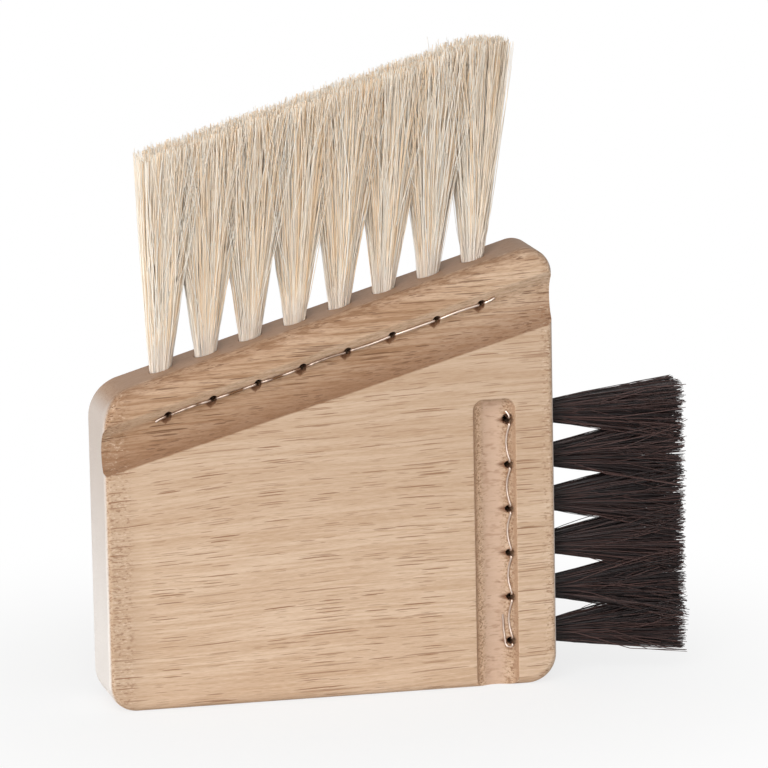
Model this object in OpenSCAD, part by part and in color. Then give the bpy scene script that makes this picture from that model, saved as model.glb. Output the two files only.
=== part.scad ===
// Two-row brush, hand drawn: a solid wooden block with a slanted upper edge.
// Light hair stands in a row of bores along the slanted edge, dark hair in a second row down the right edge.
// Each tuft is folded over a hairpin of draw wire, which comes in from a groove cut in the front face.
// X runs right, Y runs back through the thickness, Z runs up from the bottom edge. Millimetres.

/* [Block] */
// Width of the block
block_w = 77; // [72:1:96]
// Thickness of the block
block_t = 15; // [12:0.5:20]
// Height of the left side, to the sharp corner
left_h = 53.5; // [44:0.5:60]
// Height of the right side, to the sharp corner
right_h = 76; // [72:0.5:84]
// Corner radius at the low end of the slanted edge
low_corner_r = 7; // [4:0.5:9]
// Corner radius at the high end of the slanted edge
high_corner_r = 4; // [3:0.5:6]
// Corner radius at both bottom corners
bottom_corner_r = 5; // [3.5:0.5:8]
// Rounding of the arrises along the slanted edge
top_arris_r = 2.4; // [1:0.1:2.8]
// Rounding of the arrises down both sides
side_arris_r = 1.1; // [0.5:0.1:2]
// Rounding of the arrises along the bottom
bottom_arris_r = 2; // [1:0.1:2.6]

/* [Wire grooves] */
// Radius of the round-nosed cutter that makes the groove and the slot
cutter_r = 4; // [3.7:0.1:4.5]
// Depth of both cuts below the front face
cut_depth = 2.4; // [2:0.1:2.8]
// Wood left between the slanted edge and the groove
top_land = 5.3; // [4:0.1:7]
// Wood left between the right edge and the slot
side_land = 6.7; // [5:0.1:8]
// Height of the closed end of the slot
slot_end_h = 49.6; // [47:0.1:51]
// Corner radius of the closed end, seen from the front
slot_end_r = 1.8; // [1.5:0.1:3]
// Radius at the foot of the closed end, seen from the side
slot_foot_r = 2; // [1:0.1:2]

/* [Hair rows] */
// Pitch of the light tufts along the slanted edge
light_pitch = 8; // [7:0.05:8.5]
// First light tuft from the left side
light_start = 11.3; // [9:0.1:12]
// Pitch of the dark tufts down the right edge
dark_pitch = 7.6; // [7:0.05:7.8]
// Height of the lowest dark tuft
dark_start = 7.6; // [7:0.1:9]
// Diameter of the bores that hold the tufts
bore_d = 4; // [3.4:0.1:4.4]
// Clearance of the packed hair in its bore, on the radius
bore_clearance = 0.1; // [0.05:0.05:0.2]
// Wood left free below the fold of the hair
bore_end = 0.3; // [0.2:0.05:0.6]

/* [Hair] */
// Free length of the light hair
light_length = 37; // [25:0.1:42]
// Free length of the dark hair
dark_length = 23.5; // [16:0.1:30]
// Half width of a light tuft where it meets its neighbour
light_fan = 3.7; // [2.5:0.1:3.8]
// Half width of a dark tuft where it meets its neighbour
dark_fan = 3.5; // [2.5:0.1:3.6]
// Share of the free length at which a tuft reaches its full width
fan_height = 0.5; // [0.35:0.05:0.7]
// Lean of the first light tuft towards the right, in degrees
first_lean = 1.5; // [0:0.1:3]
// Lean of the last light tuft towards the right, in degrees
last_lean = 4; // [3:0.1:5]
// Strands in a light tuft
light_strands = 34; // [24:1:36]
// Strands in a dark tuft
dark_strands = 28; // [20:1:30]
// Radius of a strand where it leaves the bore
strand_r = 0.22; // [0.14:0.01:0.24]

/* [Draw wire] */
// Diameter of the draw wire
wire_d = 0.4; // [0.3:0.02:0.44]
// Clearance round the wire
wire_clearance = 0.08; // [0.06:0.01:0.12]
// Diameter of the draw holes
draw_hole_d = 1.6; // [1.5:0.05:1.9]
// Draw holes below the ridge of the slanted groove
top_hole_inset = 1.2; // [0.9:0.05:1.6]
// Draw holes in from the ridge of the slot
side_hole_inset = 0.9; // [0.8:0.05:1.4]
// Bow of the side wire between its holes
side_bow = 0.5; // [0:0.05:0.8]
// Length of the wire ends
wire_tail = 1.6; // [1:0.1:2]
// Gap between the side wire's last run and its end, which comes back beside it
return_gap = 1.4; // [1.2:0.1:1.8]

/* [Hidden] */

wood = [0.80, 0.69, 0.58];
light_hair = [0.87, 0.81, 0.72];
dark_hair = [0.20, 0.15, 0.15];
tinned_wire = [0.80, 0.76, 0.71];

light_count = 8;
dark_count = 6;
corner_steps = 7;
arris_steps = 5;
cutter_steps = 14;
end_steps = 5;
// The closed end's outline stands this far outside the slot's edges, so that no faces coincide
end_ease = 0.05;
wire_sides = 6;
past = 2;

slope = atan((right_h - left_h) / block_w);
front = -block_t / 2;
right_side = block_w / 2;
along_top = [cos(slope), 0, sin(slope)];
top_length = block_w / cos(slope);
// Both cuts at the front face: half the cutter's angle in the wood, and the width
cut_angle = acos(1 - cut_depth / cutter_r);
cut_w = 2 * cutter_r * sin(cut_angle);

wire_r = wire_d / 2;
hair_r = bore_d / 2 - bore_clearance;
// The hair's fold is a ring round the wire: its own half thickness, and its centre line's radius
fold_r = 0.22;
fold_ring_r = wire_r + wire_clearance + fold_r;
// Each leg of a hairpin passes beside the fold
leg = fold_r + wire_clearance + wire_r;
bend_r = wire_r + wire_clearance;
// Depth of a draw hole's axis below the wood's edge, measured along the bore
light_eye = (top_land + top_hole_inset) / cos(slope);
dark_eye = side_land + side_hole_inset;

function unit(v) = v / norm(v);
function top_z(x) = left_h + (x + right_side) * tan(slope);
function light_x(k) = -right_side + light_start + (k - 1) * light_pitch * cos(slope);
function dark_z(k) = dark_start + (dark_count - k) * dark_pitch;
function light_lean(k) = first_lean + (last_lean - first_lean) * (k - 1) / (light_count - 1);

// Depth at which a wire lies in a cut, at a distance in from the cut's edge
function lie(inset) = cut_depth - cutter_r
    + sqrt(pow(cutter_r - wire_r - wire_clearance, 2) - pow(cut_w / 2 - inset, 2));

// Walls over rings of equal counts, each ring anticlockwise when seen from the last ring
function walls(rings, sides) = concat(
    [for (i = [0:rings - 2]) for (j = [0:sides - 1])
        [i * sides + j, (i + 1) * sides + j, (i + 1) * sides + (j + 1) % sides]],
    [for (i = [0:rings - 2]) for (j = [0:sides - 1])
        [i * sides + j, (i + 1) * sides + (j + 1) % sides, i * sides + (j + 1) % sides]]);

// The same, closed by a flat face at each end
function skin_faces(rings, sides) = concat(
    [[for (j = [0:sides - 1]) j]],
    walls(rings, sides),
    [[for (j = [sides - 1:-1:0]) (rings - 1) * sides + j]]);

// Block: outline corners, clockwise from the low end of the slanted edge.
// Each has its sharp point, the angles its arc runs between, its radius, and the arris rounding at both ends
corners = [
    [[-right_side, left_h], 180, 90 + slope, low_corner_r, side_arris_r, top_arris_r],
    [[right_side, right_h], 90 + slope, 0, high_corner_r, top_arris_r, side_arris_r],
    [[right_side, 0], 0, -90, bottom_corner_r, side_arris_r, bottom_arris_r],
    [[-right_side, 0], -90, -180, bottom_corner_r, bottom_arris_r, side_arris_r]];

function direction(a) = [cos(a), sin(a)];
function arc_centre(c) = c[0] - c[3] * (direction(c[1]) + direction(c[2]))
    / (1 + direction(c[1]) * direction(c[2]));

// One ring of the block's skin: turn goes from 0 on the side wall to 90 on the face
function block_ring(turn, side) = [for (c = corners) for (i = [0:corner_steps])
    let (share = i / corner_steps,
        a = c[1] + (c[2] - c[1]) * share,
        r = c[4] + (c[5] - c[4]) * share,
        p = arc_centre(c) + (c[3] - r * (1 - cos(turn))) * direction(a))
    [p[0], side * (block_t / 2 - r * (1 - sin(turn))), p[1]]];

module blank() {
    turns = [for (i = [0:arris_steps]) 90 * i / arris_steps];
    rings = concat(
        [for (i = [arris_steps:-1:0]) block_ring(turns[i], -1)],
        [for (i = [0:arris_steps]) block_ring(turns[i], 1)]);
    sides = len(rings[0]);
    count = len(rings) * sides;
    // Each face is a fan round a place near its middle
    hub = [0, left_h / 2];
    polyhedron(
        concat([for (r = rings) for (p = r) p], [[hub[0], front, hub[1]], [hub[0], -front, hub[1]]]),
        concat(walls(len(rings), sides),
            [for (j = [0:sides - 1]) [count, j, (j + 1) % sides]],
            [for (j = [0:sides - 1]) [count + 1, count - sides + (j + 1) % sides, count - sides + j]]));
}

// Section of a cut: across its width, and down into the wood from the front face.
// The arc ends half a step above the face, so that no corner lies in it
function cut_section() = let (
        reach = cut_angle * (1 + 1 / cutter_steps),
        arc = [for (i = [0:cutter_steps]) let (a = reach * (2 * i / cutter_steps - 1))
            [cutter_r * sin(a), cut_depth - cutter_r * (1 - cos(a))]],
        rise = past * [cos(reach), -sin(reach)])
    concat([arc[cutter_steps] + rise, arc[0] + [-rise[0], rise[1]]], arc);

// Local X runs up the slanted edge from its low end, local Z stands out of it
module on_top_edge() {
    translate([-right_side, 0, left_h]) rotate([0, -slope, 0]) children();
}

module groove_cut() {
    on_top_edge() translate([-block_t, front, -top_land - cut_w / 2])
        rotate([90, 0, 90]) linear_extrude(top_length + 2 * block_t)
            polygon([for (p = cut_section()) [p[1], -p[0]]]);
}

// The slot runs out of the bottom edge, and its closed end is rounded in both views
module slot_cut() {
    middle = right_side - side_land - cut_w / 2;
    translate([middle, front, 0]) intersection() {
        translate([0, 0, -past]) linear_extrude(slot_end_h + past) polygon(cut_section());
        translate([-cut_w, 0, slot_end_h - cut_w / 2]) rotate([90, 0, 90]) linear_extrude(2 * cut_w)
            polygon(concat(
                [[-past, -slot_end_h], [cut_depth, -slot_end_h]],
                [for (i = [end_steps:-1:0]) let (a = 90 * i / end_steps)
                    [cut_depth, cut_w / 2] - slot_foot_r * [1 - sin(a), 1 - cos(a)]],
                [[-past, cut_w / 2]]));
        rotate([90, 0, 0]) translate([0, 0, -cut_depth - past]) linear_extrude(cut_depth + 2 * past)
            let (half = cut_w / 2 + end_ease, middle = half - slot_end_r)
            polygon(concat([[half, -2 * past], [-half, -2 * past]],
                [for (i = [0:end_steps]) let (a = 180 - 90 * i / end_steps)
                    [-middle, slot_end_h - slot_end_r] + slot_end_r * direction(a)],
                [for (i = [0:end_steps]) let (a = 90 - 90 * i / end_steps)
                    [middle, slot_end_h - slot_end_r] + slot_end_r * direction(a)]));
    }
}

// Bore along local Z, down from the wood's edge, and the draw hole that meets it from the front
module tuft_bores(eye) {
    depth = eye + fold_ring_r + fold_r + bore_end;
    translate([0, 0, -depth]) cylinder(h = depth + past + bore_d, d = bore_d, $fn = 48);
    translate([0, 0, -eye]) rotate([90, 0, 0]) cylinder(h = block_t, d = draw_hole_d, $fn = 32);
}

module at_light(k) {
    translate([light_x(k), 0, top_z(light_x(k))]) children();
}

// Local Z stands out of the right side and local X runs down it
module at_dark(k) {
    translate([right_side, 0, dark_z(k)]) rotate([0, 90, 0]) children();
}

module block() {
    color(wood) difference() {
        blank();
        groove_cut();
        slot_cut();
        for (k = [1:light_count]) at_light(k) tuft_bores(light_eye);
        for (k = [1:dark_count]) at_dark(k) tuft_bores(dark_eye);
    }
}

// One straight-sided strand through three places, with the radius at each
module strand(places, radii) {
    sides = 3;
    polyhedron(
        [for (i = [0:2]) for (j = [0:sides - 1])
            places[i] + radii[i] * [cos(360 * j / sides), sin(360 * j / sides), 0]],
        skin_faces(3, sides));
}

// Tuft in its own frame: mouth of the bore at the origin, hair along Z, row along X.
// rise is the tangent of the wood's slope along X, and row_turn lays the fold along the wire
module tuft(eye, length, fan, lean, rise, strands, row_turn) {
    mouth = -rise * hair_r - bore_clearance;
    spread = hair_r - strand_r - bore_clearance / 2;
    golden = 180 * (3 - sqrt(5));
    neck = -eye + fold_ring_r;
    rotate_extrude($fn = 40) polygon([
        [0, neck - fold_r], [2 * fold_r, neck], [hair_r, neck + hair_r], [hair_r, mouth], [0, mouth]]);
    translate([0, 0, -eye]) rotate([0, row_turn, 0]) rotate([0, 90, 0])
        rotate_extrude($fn = 24) translate([fold_ring_r, 0]) circle(r = fold_r, $fn = 16);
    for (i = [0:strands - 1]) {
        reach = sqrt((i + 0.5) / strands);
        way = reach * direction(golden * i);
        root = spread * way;
        wide = fan * way;
        knee_z = fan_height * length;
        knee = [wide[0] + knee_z * tan(lean), wide[1], knee_z];
        tip_x = wide[0] + length * tan(lean);
        tip = [tip_x, wide[1], length + rise * tip_x];
        strand([[root[0], root[1], mouth - 2 * strand_r], knee, tip],
            [strand_r, strand_r, 0.7 * strand_r]);
    }
}

module light_tuft(k) {
    color(light_hair) at_light(k)
        tuft(light_eye, light_length, light_fan, light_lean(k), tan(slope), light_strands, -slope);
}

module dark_tuft(k) {
    color(dark_hair) at_dark(k)
        tuft(dark_eye, dark_length, dark_fan, 0, 0, dark_strands, 0);
}

function tangents(p) = [for (i = [0:len(p) - 1])
    unit(p[min(i + 1, len(p) - 1)] - p[max(i - 1, 0)])];

// A side vector carried along the path without twist
function carried(t, s, i = 0) = i == len(t) ? [] :
    let (v = unit(s - t[i] * (s * t[i]))) concat([v], carried(t, v, i + 1));

module wire(path) {
    t = tangents(path);
    s = carried(t, [0.3, 0.2, 1]);
    polyhedron(
        [for (i = [0:len(path) - 1]) for (j = [0:wire_sides - 1]) let (a = 360 * j / wire_sides)
            path[i] + wire_r * (cos(a) * s[i] + sin(a) * cross(t[i], s[i]))],
        skin_faces(len(path), wire_sides));
}

// Hairpin round the fold of the hair at eye: in from the run, round, and out again
function hairpin(eye, row, run_y) =
    let (turn_in = [for (a = [0:45:90])
            [-leg - bend_r + bend_r * sin(a), run_y + bend_r - bend_r * cos(a)]],
        round_fold = [for (a = [180:-45:0]) leg * [cos(a), sin(a) - 1]],
        turn_out = [for (a = [90:-45:0])
            [leg + bend_r - bend_r * sin(a), run_y + bend_r - bend_r * cos(a)]])
    [for (p = concat(turn_in, round_fold, turn_out)) eye + p[0] * row + [0, p[1], 0]];

module top_draw_wire() {
    run_y = front + lie(top_hole_inset);
    eyes = [for (k = [1:light_count]) [light_x(k), 0, top_z(light_x(k)) - light_eye]];
    reach = leg + bend_r;
    up = [-along_top[2], 0, along_top[0]];
    // A place on the groove's wall, along the row from an eye and towards the ridge
    function resting(eye, along, ridgeward) = eye + along * along_top + ridgeward * up
        + [0, front + lie(top_hole_inset - ridgeward), 0];
    low_end = [for (p = [[1, 0.9], [0.6, 0.25]])
        resting(eyes[0], -reach - p[0] * wire_tail, -p[1] * wire_d)];
    high_end = [for (p = [[0.6, 0.25], [1, 0.9]])
        resting(eyes[light_count - 1], reach + p[0] * wire_tail, p[1] * wire_d)];
    color(tinned_wire)
        wire(concat(low_end, [for (e = eyes) for (p = hairpin(e, along_top, run_y)) p], high_end));
}

module side_draw_wire() {
    run_y = front + lie(side_hole_inset);
    down = [0, 0, -1];
    eye_x = right_side - dark_eye;
    eyes = [for (k = [1:dark_count]) [eye_x, 0, dark_z(k)]];
    reach = leg + bend_r;
    // A place in the slot: away from the line of holes, and below the highest hole
    function lying(away, below) = [eye_x - away, front + lie(side_hole_inset + away), dark_z(1) - below];
    function bowed(k) = [for (share = [0.25:0.25:0.75])
        lying(side_bow * sin(180 * share),
            (k - 1) * dark_pitch + reach + share * (dark_pitch - 2 * reach))];
    start = [lying(side_bow, -reach - wire_tail / 2), lying(side_bow / 3, -reach - wire_tail / 4)];
    // The end comes back up beside the last run and stops short of the hole above
    last = (dark_count - 1) * dark_pitch;
    back = [
        lying(0.2 * return_gap, last + reach + bend_r),
        lying(0.55 * return_gap, last + reach + 0.8 * bend_r),
        lying(0.75 * return_gap, last + leg),
        lying(0.95 * return_gap, last - 0.3 * dark_pitch),
        lying(return_gap, last - 0.6 * dark_pitch)];
    color(tinned_wire)
        wire(concat(start,
            [for (k = [1:dark_count]) for (p = concat(hairpin(eyes[k - 1], down, run_y),
                k < dark_count ? bowed(k) : [])) p],
            back));
}

block();
top_draw_wire();
side_draw_wire();
for (k = [1:light_count]) light_tuft(k);
for (k = [1:dark_count]) dark_tuft(k);
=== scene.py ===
# A small hand-drawn brush of pale wood, standing on its bottom edge.
# Light hair stands along its slanted upper edge and dark hair down its right edge.
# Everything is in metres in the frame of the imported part, and sizes are written in millimetres.
import math

import bmesh
import bpy
from mathutils import Matrix, Vector


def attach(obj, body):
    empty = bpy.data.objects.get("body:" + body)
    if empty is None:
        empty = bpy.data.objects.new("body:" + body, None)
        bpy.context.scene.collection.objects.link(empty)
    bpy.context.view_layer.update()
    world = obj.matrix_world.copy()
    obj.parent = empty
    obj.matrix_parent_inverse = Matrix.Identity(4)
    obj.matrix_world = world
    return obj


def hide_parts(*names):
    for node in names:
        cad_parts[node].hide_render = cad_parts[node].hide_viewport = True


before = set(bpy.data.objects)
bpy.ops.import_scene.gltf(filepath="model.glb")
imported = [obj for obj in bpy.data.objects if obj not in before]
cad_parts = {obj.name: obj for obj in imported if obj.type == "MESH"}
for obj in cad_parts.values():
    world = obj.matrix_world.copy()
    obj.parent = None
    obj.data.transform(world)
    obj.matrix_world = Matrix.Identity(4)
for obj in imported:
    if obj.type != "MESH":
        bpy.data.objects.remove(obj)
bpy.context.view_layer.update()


# Camera: a long lens, a little to the left of the front and a little above it.
# It is turned slightly about its own axis, because the brush leans in the picture.
MM = 0.001
LENS_MM = 292.3
CLIP_END = 20
CAMERA_DISTANCE = 1048.9
CAMERA_AIM = Vector((10.95, 0, 51.9))
CAMERA_LEFT = math.radians(12.65)
CAMERA_UP = math.radians(10.75)
CAMERA_ROLL = math.radians(-1.1)

toward_camera = Vector((
    -math.sin(CAMERA_LEFT) * math.cos(CAMERA_UP),
    -math.cos(CAMERA_LEFT) * math.cos(CAMERA_UP),
    math.sin(CAMERA_UP)))
camera = bpy.data.objects.new("camera", bpy.data.cameras.new("camera"))
camera.data.lens = LENS_MM
camera.data.clip_end = CLIP_END
camera.matrix_world = (
    Matrix.Translation((CAMERA_AIM + CAMERA_DISTANCE * toward_camera) * MM)
    @ toward_camera.to_track_quat("Z", "Y").to_matrix().to_4x4()
    @ Matrix.Rotation(CAMERA_ROLL, 4, "Z"))
bpy.context.scene.collection.objects.link(camera)
bpy.context.scene.camera = camera
bpy.context.scene.view_settings.view_transform = "Standard"


class Value:
    """A socket of a node tree. Arithmetic on it adds Math nodes."""

    def __init__(self, tree, socket):
        self.tree = tree
        self.socket = socket

    def other(self, name):
        """Another output of the same node."""
        return Value(self.tree, self.socket.node.outputs[name])

    def __add__(self, other):
        return self.tree.math("ADD", self, other)

    def __radd__(self, other):
        return self.tree.math("ADD", other, self)

    def __sub__(self, other):
        return self.tree.math("SUBTRACT", self, other)

    def __rsub__(self, other):
        return self.tree.math("SUBTRACT", other, self)

    def __mul__(self, other):
        return self.tree.math("MULTIPLY", self, other)

    def __rmul__(self, other):
        return self.tree.math("MULTIPLY", other, self)

    def __truediv__(self, other):
        return self.tree.math("DIVIDE", self, other)

    def __pow__(self, other):
        return self.tree.math("POWER", self, other)

    def __neg__(self):
        return self.tree.math("MULTIPLY", self, -1.0)

    def __abs__(self):
        return self.tree.math("ABSOLUTE", self)

    def rise(self, low, high):
        """0 below low, 1 above high, and a smooth step between; high may be the lower one."""
        settings = {"interpolation_type": "SMOOTHSTEP"}
        return self.tree.add("ShaderNodeMapRange", settings,
                             {"Value": self, "From Min": low, "From Max": high})

    def past_nearest(self):
        """How far it lies past the nearest whole number, from -0.5 to 0.5."""
        raised = self + 0.5
        return raised - self.tree.math("FLOOR", raised) - 0.5


class Tree:
    """Adds nodes to a material or a geometry tree."""

    def __init__(self, nodes):
        self.nodes = nodes

    def add(self, kind, settings=None, inputs=None, output=0):
        """A new node, given as one of its outputs where it has any."""
        node = self.nodes.nodes.new(kind)
        for name, value in (settings or {}).items():
            setattr(node, name, value)
        for key, value in (inputs or {}).items():
            socket = self.find(node.inputs, key)
            if isinstance(value, Value):
                self.nodes.links.new(value.socket, socket)
            else:
                socket.default_value = value
        return Value(self, self.find(node.outputs, output)) if node.outputs else node

    def find(self, sockets, key):
        """A socket by its place in the list, its identifier or its name."""
        if isinstance(key, int):
            return sockets[key]
        named = [s for s in sockets if s.identifier == key]
        return (named or [s for s in sockets if s.name == key and s.enabled])[0]

    def math(self, operation, *values):
        return self.add("ShaderNodeMath", {"operation": operation}, dict(enumerate(values)))

    def mix(self, share, first, second):
        """A colour between two."""
        return self.add("ShaderNodeMix", {"data_type": "RGBA"},
                        {"Factor_Float": share, "A_Color": first, "B_Color": second}, "Result_Color")

    def coat(self, colour, *coats):
        """Coats laid over a colour one after the other. Each is the share that covers, and its colour."""
        for share, coat_colour in coats:
            colour = self.mix(share, colour, coat_colour)
        return colour

    def vector(self, x, y, z):
        return self.add("ShaderNodeCombineXYZ", None, {0: x, 1: y, 2: z})

    def noise(self, where, detail=2.0, roughness=0.5):
        return self.add("ShaderNodeTexNoise", {"noise_dimensions": "3D"},
                        {"Vector": where, "Scale": 1.0, "Detail": detail, "Roughness": roughness})

    def place(self):
        """Where a point lies in its object, in metres."""
        return self.add("ShaderNodeTexCoord", None, None, "Object")

    def scaled(self, place, factor):
        return self.add("ShaderNodeVectorMath", {"operation": "SCALE"}, {0: place, "Scale": factor})


WHITE = (1, 1, 1, 1)


def linear(red, green, blue):
    """A colour written as 0 to 255 screen values, as a shader takes it."""
    screen = [c / 255 for c in (red, green, blue)]
    return tuple(c / 12.92 if c <= 0.04045 else ((c + 0.055) / 1.055) ** 2.4 for c in screen) + (1.0,)


def new_material(name):
    material = bpy.data.materials.new(name)
    material.use_nodes = True
    material.node_tree.nodes.clear()
    return material, Tree(material.node_tree)


# Floor and light: a pale floor and a white room that is dimmer overhead, so that faces turned upwards
# are the darker ones. A wide lamp lies low in front, one stands at the left, and one is high in front.
FLOOR_HALF = 3.0
SHADOW_REACH = 0.13
SHADOW_CORE = 0.02
SHADE_KEPT = 0.25
# Place, width, height and power of each lamp, in metres and watts
LAMPS = {
    "key_lamp": (Vector((-0.2, -0.75, 0.03)), 0.7, 0.12, 1.1),
    "left_lamp": (Vector((-0.8, 0.02, 0.05)), 0.4, 0.3, 3.0),
    "hair_lamp": (Vector((-0.25, -0.55, 0.42)), 0.5, 0.5, 3.1)}
ROOM_LOW = 0.6
ROOM_OVERHEAD = 0.25
CAMERA_WHITE = 1.0


def plain_floor():
    """White where the camera sees it, with part of its own shade kept so that the shadow shows."""
    material, tree = new_material("pale_floor")
    place = tree.place()
    far = tree.add("ShaderNodeVectorMath", {"operation": "LENGTH"}, {0: place}, "Value")
    shade_kept = SHADE_KEPT * far.rise(SHADOW_REACH, SHADOW_CORE)
    tint = tree.mix(tree.noise(place, 3.0), linear(244, 244, 243), linear(248, 248, 247))
    diffuse = tree.add("ShaderNodeBsdfDiffuse", None, {"Color": tint})
    white = tree.add("ShaderNodeEmission", None, {"Color": WHITE, "Strength": CAMERA_WHITE})
    seen = tree.add("ShaderNodeLightPath", None, None, "Is Camera Ray")
    shader = tree.add("ShaderNodeMixShader", None, {0: seen * (1 - shade_kept), 1: diffuse, 2: white})
    tree.add("ShaderNodeOutputMaterial", None, {"Surface": shader})
    return material


floor_mesh = bpy.data.meshes.new("floor")
floor_mesh.from_pydata(
    [(-FLOOR_HALF, -FLOOR_HALF, 0), (FLOOR_HALF, -FLOOR_HALF, 0),
     (FLOOR_HALF, FLOOR_HALF, 0), (-FLOOR_HALF, FLOOR_HALF, 0)], [], [(0, 1, 2, 3)])
floor = bpy.data.objects.new("floor", floor_mesh)
floor.data.materials.append(plain_floor())
bpy.context.scene.collection.objects.link(floor)

for lamp_name, (place, width, height, power) in LAMPS.items():
    lamp_data = bpy.data.lights.new(lamp_name, "AREA")
    lamp_data.shape = "RECTANGLE"
    lamp_data.size = width
    lamp_data.size_y = height
    lamp_data.energy = power
    lamp = bpy.data.objects.new(lamp_name, lamp_data)
    away = place - CAMERA_AIM * MM
    lamp.matrix_world = Matrix.Translation(place) @ away.to_track_quat("Z", "Y").to_matrix().to_4x4()
    bpy.context.scene.collection.objects.link(lamp)

world = bpy.data.worlds.new("room")
world.use_nodes = True
world.node_tree.nodes.clear()
room = Tree(world.node_tree)
path = room.add("ShaderNodeLightPath", None, None, "Is Camera Ray")
seen_plainly = room.math("MAXIMUM", path, path.other("Is Glossy Ray"))
toward = room.add("ShaderNodeSeparateXYZ", None, {0: room.add("ShaderNodeTexCoord")}, "Z")
glow = ROOM_LOW + (ROOM_OVERHEAD - ROOM_LOW) * toward.rise(0.1, 0.7)
room_glow = room.add("ShaderNodeBackground", None, {"Color": WHITE, "Strength": glow})
room_white = room.add("ShaderNodeBackground", None, {"Color": WHITE, "Strength": CAMERA_WHITE})
room_shader = room.add("ShaderNodeMixShader", None, {0: seen_plainly, 1: room_glow, 2: room_white})
room.add("ShaderNodeOutputWorld", None, {"Surface": room_shader})
bpy.context.scene.world = world


# Block: one piece of pale wood, sawn with a slanted upper edge and sanded round at its edges.
# A round-nosed cutter has made the groove under that edge and the slot beside the right one.
# Each tuft has a bore, and a draw hole meets the bore from the groove or the slot.
BLOCK_W = 77
BLOCK_T = 15
LEFT_H = 53.5
RIGHT_H = 76
SIDE_ARRIS_R = 1.1
TOP_ARRIS_R = 2.4
BOTTOM_ARRIS_R = 2.0
OUTLINE_STEPS = 16
ARRIS_STEPS = 8

CUTTER_R = 4
CUT_DEPTH = 2.4
CUT_STEPS = 14
FIRST_CUT_DEPTH = 0.1
LEAST_HALF = 0.03
# The edge of a cut is eased: depths, and how much wider the cut is at them
EASED_EDGE = ((-2.0, 0.14), (0.0, 0.14), (0.03, 0.05))
TOP_LAND = 5.3
GROOVE_SPREAD = 0.9
GROOVE_RUN_OUT = 20
GROOVE_SANDED = 0.6
GROOVE_SANDED_DEPTH = 1.4
SIDE_LAND = 6.7
SLOT_END_H = 49.6
SLOT_END_R = 1.8
SLOT_FOOT_R = 2
SLOT_CORNER_STEPS = 10
SLOT_RUN_OUT = 5

LIGHT_COUNT = 8
LIGHT_PITCH = 8
LIGHT_START = 11.3
DARK_COUNT = 6
DARK_PITCH = 7.6
DARK_START = 7.6
BORE_R = 2
BORE_DEPTH = 8.4
BORE_RUN_OUT = 4
DRAW_HOLE_R = 0.7
DRAW_HOLE_PAST_EYE = 0.3
DRAW_HOLE_RUN_OUT = 2
TOP_HOLE_INSET = 1.2
SIDE_HOLE_INSET = 0.9
TORN_REACH = 1.9
SHARP_ANGLE = math.radians(38)

UP = Vector((0, 0, 1))
OUT_RIGHT = Vector((1, 0, 0))
BACK = Vector((0, 1, 0))
FRONT = -BLOCK_T / 2
RIGHT = BLOCK_W / 2
CUT_W = 2 * math.sqrt(CUTTER_R ** 2 - (CUTTER_R - CUT_DEPTH) ** 2)
SLOPE = math.atan((RIGHT_H - LEFT_H) / BLOCK_W)
ALONG_TOP = Vector((math.cos(SLOPE), 0, math.sin(SLOPE)))
OUT_OF_TOP = Vector((-math.sin(SLOPE), 0, math.cos(SLOPE)))
LIGHT_EYE = (TOP_LAND + TOP_HOLE_INSET) / math.cos(SLOPE)
DARK_EYE = SIDE_LAND + SIDE_HOLE_INSET
SLOT_MIDDLE = RIGHT - SIDE_LAND - CUT_W / 2


def top_at(x):
    """Height of the slanted edge."""
    return LEFT_H + (x + RIGHT) * math.tan(SLOPE)


# The bores' mouths, and the eyes where the draw holes meet them
light_mouths = []
for k in range(LIGHT_COUNT):
    x = -RIGHT + LIGHT_START + k * LIGHT_PITCH * math.cos(SLOPE)
    light_mouths.append(Vector((x, 0, top_at(x))))
dark_mouths = [Vector((RIGHT, 0, DARK_START + (DARK_COUNT - 1 - k) * DARK_PITCH)) for k in range(DARK_COUNT)]
light_eyes = [mouth - Vector((0, 0, LIGHT_EYE)) for mouth in light_mouths]
dark_eyes = [mouth - Vector((DARK_EYE, 0, 0)) for mouth in dark_mouths]


def heading(turn):
    return Vector((math.cos(turn), math.sin(turn)))


def loft(name, rings):
    """A closed mesh over rings of equal counts, in metres, with its faces turned outwards."""
    mesh = bmesh.new()
    rows = [[mesh.verts.new(Vector(p) * MM) for p in ring] for ring in rings]
    count = len(rows[0])
    for near, far in zip(rows, rows[1:]):
        for j in range(count):
            mesh.faces.new((near[j], far[j], far[(j + 1) % count], near[(j + 1) % count]))
    mesh.faces.new(rows[0])
    mesh.faces.new(rows[-1][::-1])
    bmesh.ops.recalc_face_normals(mesh, faces=mesh.faces)
    data = bpy.data.meshes.new(name)
    mesh.to_mesh(data)
    mesh.free()
    return data


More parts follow.
